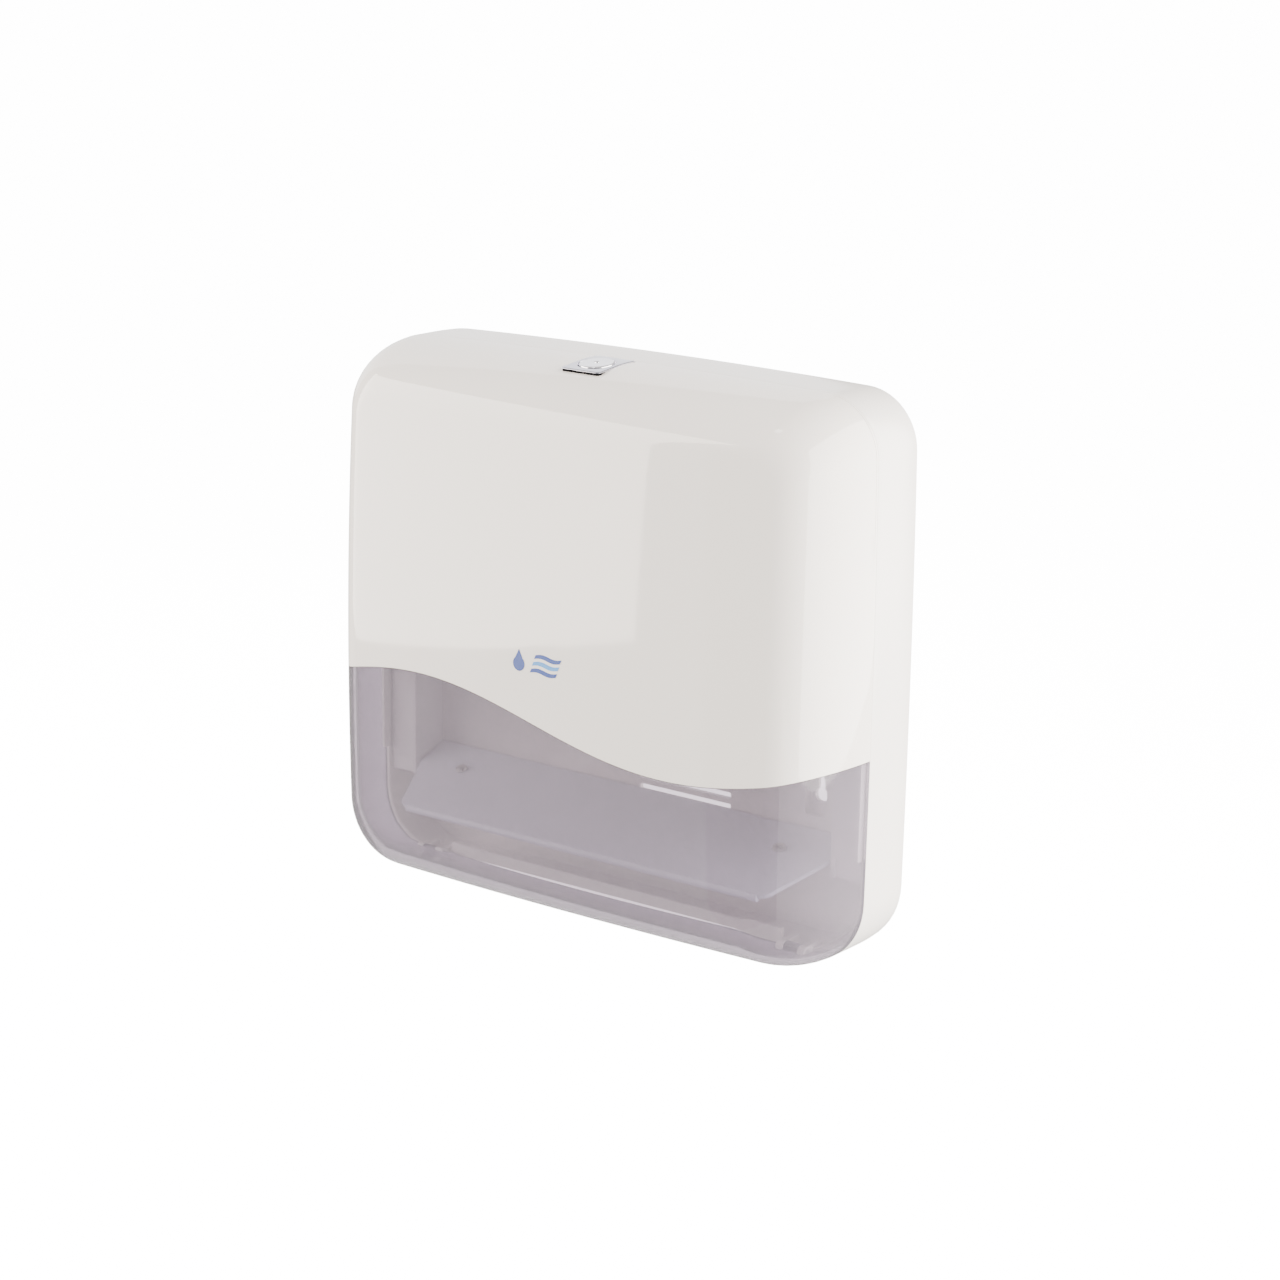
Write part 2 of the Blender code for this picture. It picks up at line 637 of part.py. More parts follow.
def make_housing(look, metal, lock):
    across, along = HOUSING_HALF
    housing = box("latch_housing", (-across, -along, HOUSING_BOTTOM), (across, along, PAD_BOTTOM - GAP), look)
    pivot = LEVER_PIVOT
    for side in (-1, 1):
        xs = sorted((side * 0.0062, side * 0.0087))
        low = (xs[0], pivot.y - 0.0028, pivot.z - 0.0028)
        ear = box(f"ear_{side}", low, (xs[1], pivot.y + 0.0028, HOUSING_BOTTOM + 0.0010))
        join(housing, place(ear, lock))
        x = side * LOCK_SCREW_X
        cut(housing, place(rod(f"housing_hole_{side}", (x, 0, -0.02), (x, 0, 0), 0.0015, sides=12), lock))
    cut(housing, place(rod("button_well", (0, 0, WELL_FLOOR), (0, 0, 0.01), WELL_RADIUS), lock))
    cut(housing, place(rod("stem_bore", (0, 0, -0.02), (0, 0, 0), STEM_RADIUS + GAP), lock))
    pin_hole = rod("ear_bore", (-0.012, pivot.y, pivot.z), (0.012, pivot.y, pivot.z), LATCH_PIN + 0.00025)
    cut(housing, place(pin_hole, lock))
    for side, label in ((-1, "left"), (1, "right")):
        under_head = (side * LOCK_SCREW_X, 0, HOUSING_BOTTOM - GAP)
        name = f"housing_screw_{label}"
        screw(name, under_head, (0, 0, 1), metal, lock, head=0.0023, shank=0.00122, length=0.0098)
    return place(housing, lock)


def make_button(look, metal, wire, frame):
    """The round push button, its stem, the clip under the lever and the return spring."""
    groove = 0.0013
    profile = (
        (0, CAP_TOP - 0.0004),
        (0.0012, CAP_TOP - 0.0004),
        (0.0015, CAP_TOP),
        (CAP_RADIUS - 0.0008, CAP_TOP),
        (CAP_RADIUS, CAP_TOP - 0.0008),
        (CAP_RADIUS, CAP_BOTTOM),
        (STEM_RADIUS, CAP_BOTTOM),
        (STEM_RADIUS, -0.0142),
        (STEM_THIN, -0.0142),
        (STEM_THIN, -0.0182),
        (groove, -0.0182),
        (groove, -0.0190),
        (STEM_THIN, -0.0190),
        (STEM_THIN, -0.0198),
        (0, -0.0198),
    )
    place(turned("lock_button", profile, look, steps=24), frame)
    clip = ring_solid("stem_clip", (0, 0, -0.01885), (0, 0, -0.01835), groove + 0.0002, 0.0034, metal, frame)
    cut(clip, place(box("clip_mouth", (-0.0010, 0.0, -0.020), (0.0010, 0.005, -0.017)), frame))

    turns = 4
    points_per_turn = 12
    wire_radius = 0.00035
    low = WELL_FLOOR + GAP + wire_radius
    high = CAP_BOTTOM - GAP - wire_radius
    curve = bpy.data.curves.new("button_spring", "CURVE")
    curve.dimensions = "3D"
    curve.bevel_depth = wire_radius
    curve.bevel_resolution = 1
    curve.use_fill_caps = True
    spline = curve.splines.new("POLY")
    count = turns * points_per_turn
    spline.points.add(count)
    for k in range(count + 1):
        angle = 2 * math.pi * k / points_per_turn
        z = low + (high - low) * k / count
        spline.points[k].co = (0.0055 * math.cos(angle), 0.0055 * math.sin(angle), z, 1)
    place(add_object("button_spring", curve, wire), frame)


def make_lever(look, metal, lock, frame):
    """The latch lever: a fork round the stem, a hub on the pin and a tooth behind the catch."""
    pivot = LEVER_PIVOT
    half = 0.0010
    front = -0.0145
    rear = 0.0150
    points = (
        (front, half),
        (rear, half),
        (rear, -0.0045),
        (rear - 0.0020, -0.0045),
        (rear - 0.0020, -half),
        (front, -half),
    )
    lever = prism("latch_lever", points, 2 * LEVER_HALF, look, turn=FACE_SIDE)
    hub = rod("lever_hub", (-LEVER_HALF + 0.0001, 0, 0), (LEVER_HALF - 0.0001, 0, 0), 0.0027)
    join(lever, place(hub, frame))
    cut(lever, place(box("fork", (-0.0022, front - 0.002, -0.01), (0.0022, -0.0050, 0.01)), frame))
    cut(lever, place(rod("lever_bore", (-0.01, 0, 0), (0.01, 0, 0), LATCH_PIN + 0.00025), frame))
    place(lever, frame)
    place(rod("latch_pin", (-0.0087, pivot.y, pivot.z), (0.0087, pivot.y, pivot.z), LATCH_PIN, metal), lock)


def make_emblem(look):
    """A thin label on the middle of the cover's face."""
    half_x = 0.017
    half_z = 0.00575
    corner = 0.0025
    points = []
    for index, (side, end) in enumerate(((1, -1), (1, 1), (-1, 1), (-1, -1))):
        for k in range(4):
            angle = math.radians(90) * (index - 1 + k / 3)
            x = side * (half_x - corner) + corner * math.cos(angle)
            points.append((x, end * (half_z - corner) + corner * math.sin(angle)))
    middle = (-0.002, -DEPTH - GAP - 0.00015, BOTTOM + 0.129)
    return prism("emblem", points, 0.0003, look, turn=FACE_FRONT, middle=middle)


def hold(thing, parent):
    """Parents a piece that is already in place."""
    thing.parent = parent
    thing.matrix_parent_inverse = parent.matrix_world.inverted()


def axis_empty(name, parent=None, location=(0, 0, 0), rotation=(0, 0, 0)):
    empty = bpy.data.objects.new(name, None)
    empty.empty_display_size = 0.01
    bpy.data.collections[CUTTERS].objects.link(empty)
    place(empty, parent, location, rotation)
    bpy.context.view_layer.update()
    return empty


def main():
    clear_scene()
    new_collection(PARTS)
    new_collection(CUTTERS)
    white = material("White ABS", (0.80, 0.78, 0.76), 0.35)
    shell_white = material("White ABS back", (0.78, 0.76, 0.74), 0.40)
    inner_white = material("White ABS inner", (0.74, 0.72, 0.71), 0.45)
    smoke = material("Smoke window", (0.50, 0.45, 0.47), 0.20, alpha=0.55)
    chrome = material("Chrome plate", (0.72, 0.72, 0.74), 0.15, 1.0)
    button = material("Button chrome", (0.66, 0.66, 0.69), 0.25, 1.0)
    steel = material("Zinc-plated screws", (0.60, 0.60, 0.58), 0.35, 1.0)
    sheet = material("Steel sheet", (0.55, 0.55, 0.56), 0.35, 1.0)
    wire = material("Spring wire", (0.45, 0.45, 0.46), 0.30, 1.0)
    grey = material("Grey acetal", (0.30, 0.30, 0.32), 0.50)
    blue = material("Blue print", (0.03, 0.16, 0.45), 0.45)

    cover_axis = axis_empty("cover_axis", location=(0, AXIS_Y, AXIS_Z))
    lock = axis_empty("lock_frame", location=(0, LOCK_Y, top_z(LOCK_Y)), rotation=(LOCK_SLOPE, 0, 0))
    hold(lock, cover_axis)
    bpy.context.view_layer.update()
    button_axis = axis_empty("button_axis", lock)
    lever_axis = axis_empty("lever_axis", lock, LEVER_PIVOT)
    tray_frame = axis_empty("tray_frame", location=TRAY_BACK, rotation=(TRAY_SLOPE, 0, 0))

    make_back_shell(shell_white, tray_frame)
    make_guides(inner_white, steel)
    make_tray(inner_white, steel, tray_frame)
    make_catch(sheet, steel)
    make_hinge_pins(steel)

    hold(make_cover_shell(white, lock), cover_axis)
    hold(make_window(smoke), cover_axis)
    make_window_clips(sheet, cover_axis)
    hold(make_escutcheon(chrome, lock), cover_axis)
    hold(make_emblem(blue), cover_axis)
    make_housing(grey, steel, lock)
    make_button(button, sheet, wire, button_axis)
    make_lever(grey, steel, lock, lever_axis)


main()
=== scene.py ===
import json
import math

import bmesh
import bpy
from mathutils import Matrix, Vector


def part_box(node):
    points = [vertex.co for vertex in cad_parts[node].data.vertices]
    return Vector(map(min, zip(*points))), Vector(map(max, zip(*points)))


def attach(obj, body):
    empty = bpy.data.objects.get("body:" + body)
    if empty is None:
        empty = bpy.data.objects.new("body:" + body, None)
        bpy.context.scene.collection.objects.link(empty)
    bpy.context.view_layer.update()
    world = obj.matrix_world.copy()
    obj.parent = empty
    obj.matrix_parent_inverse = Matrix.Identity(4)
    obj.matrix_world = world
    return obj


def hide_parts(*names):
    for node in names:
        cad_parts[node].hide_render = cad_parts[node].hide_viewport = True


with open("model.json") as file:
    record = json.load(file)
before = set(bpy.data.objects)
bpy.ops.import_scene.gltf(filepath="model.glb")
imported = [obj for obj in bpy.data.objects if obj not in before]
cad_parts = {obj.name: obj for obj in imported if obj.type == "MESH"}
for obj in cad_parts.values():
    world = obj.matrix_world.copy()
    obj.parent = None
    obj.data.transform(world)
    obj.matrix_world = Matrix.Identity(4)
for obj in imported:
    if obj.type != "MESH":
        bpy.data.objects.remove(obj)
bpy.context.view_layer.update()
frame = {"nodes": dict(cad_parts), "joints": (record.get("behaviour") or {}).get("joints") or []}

# ---- Sizes, in metres: +X right seen from the front, -Y out of the wall, +Z up ----
shell_low, shell_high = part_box("back_shell")
WIDTH = shell_high[0] - shell_low[0]
HEIGHT = 0.2631
DEPTH = 0.088
SEAM = 0.033
SEAM_GAP = 0.00005
BEHIND_SEAM = -0.028
WALL = 0.0025
TOP = HEIGHT / 2
BOTTOM = -HEIGHT / 2
CORNER_TOP = 0.0266
CORNER_BOTTOM = 0.0334
SIDE_BOW = 0.0014
TOP_BOW = 0.0025
BOTTOM_BOW = -0.0034
EDGE_IN = 0.0252
EDGE_DEEP = 0.0444
TILT = 0.0034
CROWN = 0.0034
SIDE_CROWN = 0.0115
BACK_IN = 0.0014
BACK_DEEP = 0.019
RIM = 0.0042
SHELL_FRONT = 0.0329
PLATE_BACK = 0.0085
PLATE_FRONT = 0.011
LIP_HALF = 0.100
LIP_HEIGHT = 0.0087
WAVE_MIDDLE = BOTTOM + 0.0988
WAVE_RISE = 0.0122
WAVE_LENGTH = 0.292
WAVE_GAP = 0.0003
MOUTH_HALF = 0.100
MOUTH_DEEP = 0.0122
ROUNDING = 0.0004
SHARP_ANGLE = math.radians(35)

hinge = next(j for j in frame["joints"] if j["name"] == "cover_hinge")
AXIS = Vector(hinge["pos_m"])
KNUCKLE = 0.0033
PIN_BORE = 0.00165
HINGE_SWEEP = 0.0041
KNUCKLE_X = (0.1020, 0.1055, 0.1059, 0.1131, 0.1135, 0.1170)
KEYHOLES = ((-0.085, 0.080), (0.085, 0.080), (0.1014, -0.0603))
KEYHOLE_PAD = (0.0085, 0.0150)
CENTRE_PAD = (0.030, 0.022)
PAD_RIM = 0.0027
KEYHOLE_HEAD = 0.0034
KEYHOLE_NECK = 0.0018
KEYHOLE_ENDS = (-0.0030, 0.0046)
KEYHOLE_FLOOR = (0.0046, 0.0066)
CENTRE_FLOOR = (0, 0.003)
BOSSES = [(side * 0.1315, z) for side in (-1, 1) for z in (-0.012, 0.085)]
BOSSES += [(side * 0.009, BOTTOM + 0.2285) for side in (-1, 1)]
BOSS_HALF = 0.005
SCREW_BORE = 0.0018
VENT_MIDDLES = (BOTTOM + 0.0535, BOTTOM + 0.0591)
VENT_X = 0.02725
VENT_HALF = (0.02675, 0.0015)
RIB_OUT = 0.0031
RIB_IN = 0.0044
RIB_FRONT = 0.0368
RIB_ENDS = (BOTTOM + 0.0515, BOTTOM + 0.2265)
TRAY_SLOPE = math.radians(21.7)
TRAY = Matrix.Translation((0, -0.0125, BOTTOM + 0.0525)) @ Matrix.Rotation(TRAY_SLOPE, 4, "X")
TRAY_SCREW = (0.096, -0.018)
TRAY_UNDER = -0.0013

ARC_STEPS = 14
STRAIGHT_STEPS = 26
EDGE_STEPS = 18
FACE_STEPS = 16

LOCK_Y = -0.0485
LOCK_SLOPE = math.radians(6.5)
PLATE_HALF = 0.0115
PLATE_Y = (-0.0613, -0.0336)
PLATE_BEND = -0.0475
PLATE_LIFT = 0.0005
PLATE_CORNER = 0.0016
CAP_RADIUS = 0.0083
CAP_TOP = 0.0010
HOLE_RADIUS = CAP_RADIUS + 0.0006
LOCK_ANGLES = [2 * math.pi * k / 96 for k in range(96)]
WELL_RADIUS = 0.0092
STEM_RADIUS = 0.0018
STEM_NECK = 0.0013
STEM_COLLAR = 0.0028


# ---- Mesh helpers ----
def new_object(name, bm):
    bmesh.ops.recalc_face_normals(bm, faces=bm.faces)
    mesh = bpy.data.meshes.new(name)
    bm.to_mesh(mesh)
    bm.free()
    thing = bpy.data.objects.new(name, mesh)
    bpy.context.scene.collection.objects.link(thing)
    return thing


def smooth(mesh):
    mesh.shade_smooth()
    mesh.set_sharp_from_angle(angle=SHARP_ANGLE)


def add_piece(name, bm, look, body, replaces=()):
    """A visible piece; a piece without a body belongs to the studio."""
    piece = new_object(name, bm)
    piece.data.materials.append(look)
    smooth(piece.data)
    if body is not None:
        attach(piece, body)
    if replaces:
        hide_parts(*replaces)
    return piece


def apply_modifiers(piece):
    bpy.context.view_layer.update()
    graph = bpy.context.evaluated_depsgraph_get()
    mesh = bpy.data.meshes.new_from_object(piece.evaluated_get(graph))
    old = piece.data
    piece.modifiers.clear()
    piece.data = mesh
    bpy.data.meshes.remove(old)
    smooth(mesh)


def boolean(piece, others, operation):
    """Adds or cuts closed helper meshes and removes them again."""
    for other in others:
        modifier = piece.modifiers.new("Boolean", "BOOLEAN")
        modifier.operation = operation
        modifier.object = other
        modifier.solver = "EXACT"
    apply_modifiers(piece)
    for other in others:
        bpy.data.objects.remove(other, do_unlink=True)


def helper(bm):
    """A closed mesh that only cuts or joins."""
    return new_object("helper", bm)


def connect(bm, rows):
    """Quads between rings of the same number of vertices."""
    count = len(rows[0])
    for row, following in zip(rows, rows[1:]):
        for k in range(count):
            after = (k + 1) % count
            bm.faces.new((row[k], row[after], following[after], following[k]))


def loft(rings):
    """A closed solid through the rings, with a flat cap at each end."""
    bm = bmesh.new()
    rows = [[bm.verts.new(point) for point in ring] for ring in rings]
    connect(bm, rows)
    bm.faces.new(rows[0])
    bm.faces.new(rows[-1])
    return bm


def endless_loft(rings):
    """A closed solid whose last ring joins its first."""
    bm = bmesh.new()
    rows = [[bm.verts.new(point) for point in ring] for ring in rings]
    connect(bm, rows + rows[:1])
    return bm


def prism(points, start, end, axis):
    """An outline in the plane across the axis, from start to end along it."""
    def spot(a, b, level):
        values = [a, b]
        values.insert("XYZ".index(axis), level)
        return values
    return loft([[spot(a, b, level) for a, b in points] for level in (start, end)])


def rounded_rectangle(centre, half, radius, steps=5):
    points = []
    for index, (side, end) in enumerate(((1, -1), (1, 1), (-1, 1), (-1, -1))):
        for k in range(steps + 1):
            angle = math.radians(90) * (index - 1 + k / steps)
            x = centre[0] + side * (half[0] - radius) + radius * math.cos(angle)
            y = centre[1] + end * (half[1] - radius) + radius * math.sin(angle)
            points.append((x, y))
    return points


def rounded_block(centre, half, radius, start, end):
    """A block standing along Y with rounded corners and a small rounded edge at its end."""
    direction = 1 if end > start else -1
    rings = [[(x, start, z) for x, z in rounded_rectangle(centre, half, radius)]]
    for k in range(4):
        angle = math.radians(90) * k / 3
        inset = ROUNDING * (1 - math.cos(angle))
        y = end - direction * ROUNDING * (1 - math.sin(angle))
        smaller = (half[0] - inset, half[1] - inset)
        rings.append([(x, y, z) for x, z in rounded_rectangle(centre, smaller, radius - inset)])
    return loft(rings)


def tube_between(start, end, radius, sides=32):
    """A round bar between two points."""
    start = Vector(start)
    end = Vector(end)
    bm = bmesh.new()
    depth = (end - start).length
    bmesh.ops.create_cone(
        bm, cap_ends=True, segments=sides, radius1=radius, radius2=radius, depth=depth
    )
    bmesh.ops.rotate(bm, verts=bm.verts, matrix=(end - start).to_track_quat("Z", "Y").to_matrix())
    bmesh.ops.translate(bm, verts=bm.verts, vec=(start + end) / 2)
    return bm


def turned(profile, matrix, steps):
    """A solid of revolution about local Z, from (radius, height) points that start and end on the axis."""
    bm = bmesh.new()
    rows = []
    for radius, height in profile:
        if radius == 0:
            rows.append([bm.verts.new(matrix @ Vector((0, 0, height)))])
            continue
        row = []
        for k in range(steps):
            angle = 2 * math.pi * k / steps
            spot = Vector((radius * math.cos(angle), radius * math.sin(angle), height))
            row.append(bm.verts.new(matrix @ spot))
        rows.append(row)
    for row, following in zip(rows, rows[1:]):
        for k in range(steps):
            after = (k + 1) % steps
            corners = [row[k % len(row)], row[after % len(row)]]
            corners += [following[after % len(following)], following[k % len(following)]]
            bm.faces.new(list(dict.fromkeys(corners)))
    return bm


# ---- The shape of the case ----
def bow(x, z):
    """Bends the straight edges of the outline a little outwards or inwards."""
    rise = 2 * z / HEIGHT
    across = 2 * x / WIDTH
    bowed_x = x - math.copysign(SIDE_BOW * rise * rise * min(1, abs(across)), x)
    edge = TOP_BOW if z > 0 else BOTTOM_BOW
    return bowed_x, z - edge * across * across * rise


def outline(inset):
    """The case seen from the front, drawn in by the inset."""
    corners = ((1, -1, CORNER_BOTTOM), (1, 1, CORNER_TOP), (-1, 1, CORNER_TOP), (-1, -1, CORNER_BOTTOM))
    arcs = []
    for index, (side, end, corner) in enumerate(corners):
        radius = max(corner - 0.6 * inset, 0.006)
        centre_x = side * (WIDTH / 2 - inset - radius)
        centre_z = end * (HEIGHT / 2 - inset - radius)
        arc = []
        for k in range(ARC_STEPS + 1):
            angle = math.radians(90) * (index - 1 + k / ARC_STEPS)
            arc.append((centre_x + radius * math.cos(angle), centre_z + radius * math.sin(angle)))
        arcs.append(arc)
    points = []
    for arc, following in zip(arcs, arcs[1:] + arcs[:1]):
        points.extend(arc)
        start = arc[-1]
        end = following[0]
        for k in range(1, STRAIGHT_STEPS):
            share = k / STRAIGHT_STEPS
            points.append((start[0] + (end[0] - start[0]) * share, start[1] + (end[1] - start[1]) * share))
    return [bow(x, z) for x, z in points]


def face_y(x, z):
    """The crowned and slightly tilted front face."""
    rise = z / HEIGHT
    return -(DEPTH - TILT * rise - CROWN * (2 * rise) ** 2 - SIDE_CROWN * (2 * x / WIDTH) ** 2)


def cover_rings(offset, back_y):
    """Rings from the cover's rear edge over the rounded edge to the middle of its front."""
    rings = [[(x, back_y, z) for x, z in outline(offset)]]
    least = -SEAM - 0.0012
    points = []
    for step in range(EDGE_STEPS + 1):
        angle = math.radians(90) * step / EDGE_STEPS
        points = outline(offset + EDGE_IN * (1 - math.cos(angle)))
        back = offset + EDGE_DEEP * (1 - math.sin(angle))
        rings.append([(x, min(face_y(x, z) + back, least), z) for x, z in points])
    for step in range(1, FACE_STEPS):
        scale = 1 - step / FACE_STEPS
        rings.append([(x * scale, face_y(x * scale, z * scale) + offset, z * scale) for x, z in points])
    return rings


def wave_z(x):
    return WAVE_MIDDLE - WAVE_RISE * math.sin(2 * math.pi * x / WAVE_LENGTH)


def top_z(y):
    """The height of the cover's top along its middle."""
    depth = DEPTH - TILT / 2 - CROWN
    into = max(0.0, (-y - depth + EDGE_DEEP) / EDGE_DEEP)
    return TOP - EDGE_IN * (1 - math.sqrt(1 - into * into))


LOCK = Matrix.Translation((0, LOCK_Y, top_z(LOCK_Y))) @ Matrix.Rotation(LOCK_SLOPE, 4, "X")


# ---- Materials ----
def node_material(name):
    look = bpy.data.materials.new(name)
    look.use_nodes = True
    tree = look.node_tree
    return look, tree, tree.nodes["Principled BSDF"]


def add_noise(tree, scale, detail=3.0, stretch=(1, 1, 1)):
    place = tree.nodes.new("ShaderNodeTexCoord")
    turn = tree.nodes.new("ShaderNodeMapping")
    turn.inputs["Scale"].default_value = stretch
    noise = tree.nodes.new("ShaderNodeTexNoise")
    noise.inputs["Scale"].default_value = scale
    noise.inputs["Detail"].default_value = detail
    tree.links.new(place.outputs["Object"], turn.inputs["Vector"])
    tree.links.new(turn.outputs["Vector"], noise.inputs["Vector"])
    return noise


def vary_colour(tree, shader, noise, colour, spread):
    ramp = tree.nodes.new("ShaderNodeValToRGB")
    ramp.color_ramp.elements[0].position = 0.3
    ramp.color_ramp.elements[1].position = 0.7
    ramp.color_ramp.elements[0].color = (*[c * (1 - spread) for c in colour], 1)
    ramp.color_ramp.elements[1].color = (*[min(1, c * (1 + spread)) for c in colour], 1)
    tree.links.new(noise.outputs["Fac"], ramp.inputs["Fac"])
    tree.links.new(ramp.outputs["Color"], shader.inputs["Base Color"])


def vary_roughness(tree, shader, noise, low, high):
    spread = tree.nodes.new("ShaderNodeMapRange")
    spread.inputs["From Min"].default_value = 0.3
    spread.inputs["From Max"].default_value = 0.7
    spread.inputs["To Min"].default_value = low
    spread.inputs["To Max"].default_value = high
    tree.links.new(noise.outputs["Fac"], spread.inputs["Value"])
    tree.links.new(spread.outputs["Result"], shader.inputs["Roughness"])


def add_bump(tree, shader, noise, height):
    bump = tree.nodes.new("ShaderNodeBump")
    bump.inputs["Distance"].default_value = height
    bump.inputs["Strength"].default_value = 1.0
    tree.links.new(noise.outputs["Fac"], bump.inputs["Height"])
    tree.links.new(bump.outputs["Normal"], shader.inputs["Normal"])


def moulded_plastic(name, colour, gloss, grain, bump_height, bump_scale=900, ior=1.58):
    look, tree, shader = node_material(name)
    shader.inputs["IOR"].default_value = ior
    cloud = add_noise(tree, 14.0)
    fine = add_noise(tree, bump_scale, 2.0)
    vary_colour(tree, shader, cloud, colour, grain)
    vary_roughness(tree, shader, cloud, *gloss)
    add_bump(tree, shader, fine, bump_height)
    return look


def worked_metal(name, colour, gloss, stretch=(1, 1, 1), scale=300, bump_height=0.00001):
    look, tree, shader = node_material(name)
    shader.inputs["Metallic"].default_value = 1.0
    streaks = add_noise(tree, scale, 2.0, stretch)
    vary_colour(tree, shader, streaks, colour, 0.05)
    vary_roughness(tree, shader, streaks, *gloss)
    add_bump(tree, shader, streaks, bump_height)
    return look


def ramp_on(tree, source, stops):
    """A colour ramp with the given (position, colour) stops, driven by a node's output."""
    ramp = tree.nodes.new("ShaderNodeValToRGB")
    points = ramp.color_ramp.elements
    while len(points) < len(stops):
        points.new(0.5)
    for point, (position, colour) in zip(points, stops):
        point.position = position
        point.color = (*colour, 1)
    tree.links.new(source, ramp.inputs["Fac"])
    return ramp


def smoke_plastic(name):
    """Smoke plastic: clear enough to show what is inside, tinted mauve, darker where it is seen edge-on."""
    look, tree, shader = node_material(name)
    cloud = add_noise(tree, 9.0)
    vary_colour(tree, shader, cloud, (0.98, 0.98, 0.98), 0.02)
    vary_roughness(tree, shader, cloud, 0.03, 0.05)
    slant = tree.nodes.new("ShaderNodeLayerWeight")
    slant.inputs["Blend"].default_value = 0.5
    tint = ramp_on(tree, slant.outputs["Facing"], SMOKE_TINTS)
    both = tree.nodes.new("ShaderNodeMix")
    both.data_type = "RGBA"
    both.blend_type = "MULTIPLY"
    both.inputs["Factor"].default_value = 1.0
    clouds = shader.inputs["Base Color"].links[0].from_socket
    tree.links.new(clouds, both.inputs["A"])
    tree.links.new(tint.outputs["Color"], both.inputs["B"])
    tree.links.new(both.outputs["Result"], shader.inputs["Base Color"])
    shader.inputs["Transmission Weight"].default_value = 0.83
    shader.inputs["IOR"].default_value = 1.38
    return look


SMOKE_TINTS = (
    (0.0, (0.405, 0.367, 0.432)),
    (0.45, (0.380, 0.345, 0.405)),
    (0.72, (0.210, 0.188, 0.228)),
    (1.0, (0.04, 0.035, 0.045)),
)
WHITE = moulded_plastic("gloss_white_plastic", (0.82, 0.775, 0.735), (0.03, 0.05), 0.006, 0.000001)
SHELL_WHITE = moulded_plastic("satin_white_plastic", (0.80, 0.765, 0.735), (0.16, 0.24), 0.008, 0.000003)
INNER_WHITE = moulded_plastic("matt_white_plastic", (0.74, 0.71, 0.71), (0.38, 0.50), 0.010, 0.000005, 700)
# The tray is the same white plastic as the inner parts; its bluer, darker colour is painted cool shade from
# how light falls on its slope.
TRAY_COOL_SHADE_WHITE = moulded_plastic("white_plastic_painted_cool_shade", (0.69, 0.70, 0.79), (0.34, 0.46), 0.010, 0.000005, 700)
SMOKE = smoke_plastic("smoke_plastic")
CHROME = worked_metal("chrome_plate", (0.50, 0.49, 0.55), (0.06, 0.12), scale=60, bump_height=0.000002)
BUTTON = worked_metal("satin_chrome", (0.82, 0.81, 0.85), (0.03, 0.06), scale=80, bump_height=0.000002)
ZINC = worked_metal("zinc_plating", (0.62, 0.61, 0.57), (0.25, 0.42))
STEEL = worked_metal("rolled_steel", (0.56, 0.56, 0.57), (0.28, 0.45), (1, 12, 12), 120, 0.00001)
WIRE = worked_metal("spring_wire", (0.45, 0.45, 0.47), (0.22, 0.38), scale=500)
# Near-black colour for the strip under the lock plate: painted shade and a painted dark reflection, not a
# rubber part.
GAP_SHADE_BLACK = moulded_plastic("black_painted_gap_shade", (0.004, 0.004, 0.005), (0.60, 0.80), 0.03, 0.00001, 600, 1.12)
ACETAL = moulded_plastic("grey_acetal", (0.20, 0.20, 0.22), (0.40, 0.52), 0.03, 0.00002, 600)
BLUE = moulded_plastic("blue_ink", (0.005, 0.04, 0.25), (0.30, 0.38), 0.05, 0.000003)
PALE_BLUE = moulded_plastic("pale_blue_ink", (0.06, 0.26, 0.60), (0.30, 0.38), 0.05, 0.000003)


# ---- Back shell ----
def keyhole_outline(x, z):
    """A round opening for the screw's head, with a narrow slot above it."""
    low = z + KEYHOLE_ENDS[0]
    high = z + KEYHOLE_ENDS[1]
    half_angle = math.asin(KEYHOLE_NECK / KEYHOLE_HEAD)
    points = []
    for k in range(41):
        angle = math.radians(90) + half_angle + (math.radians(360) - 2 * half_angle) * k / 40
        points.append((x + KEYHOLE_HEAD * math.cos(angle), low + KEYHOLE_HEAD * math.sin(angle)))
    for k in range(17):
        angle = math.radians(180) * k / 16
        points.append((x + KEYHOLE_NECK * math.cos(angle), high + KEYHOLE_NECK * math.sin(angle)))
    return points


def level_ring(inset, y):
    return [(x, y, z) for x, z in outline(inset)]


def box_helper(low, high, matrix=Matrix()):
    points = [(low[0], low[1]), (high[0], low[1]), (high[0], high[1]), (low[0], high[1])]
    bm = prism(points, low[2], high[2], "Z")
    bmesh.ops.transform(bm, matrix=matrix, verts=bm.verts)
    return helper(bm)


def bore_helper(x, y, start, end, radius, matrix):
    """A round cutter along local Z of a frame."""
    return helper(tube_between(matrix @ Vector((x, y, start)), matrix @ Vector((x, y, end)), radius))


def hinge_bar(xs, radius, sides=32):
    """A round bar on the hinge's axis."""
    return helper(tube_between((xs[0], AXIS.y, AXIS.z), (xs[1], AXIS.y, AXIS.z), radius, sides))


def side_rib(side):
    """A low rib inside the side wall, which reaches a little way into the cover."""
    steps = 24
    low, high = RIB_ENDS
    heights = [low + (high - low) * k / steps for k in range(steps + 1)]
    outer = [(side * bow(WIDTH / 2 - RIB_OUT, z)[0], z) for z in heights]
    inner = [(side * bow(WIDTH / 2 - RIB_IN, z)[0], z) for z in heights]
    return helper(prism(outer + inner[::-1], -RIB_FRONT, -SHELL_FRONT + 0.003, "Y"))


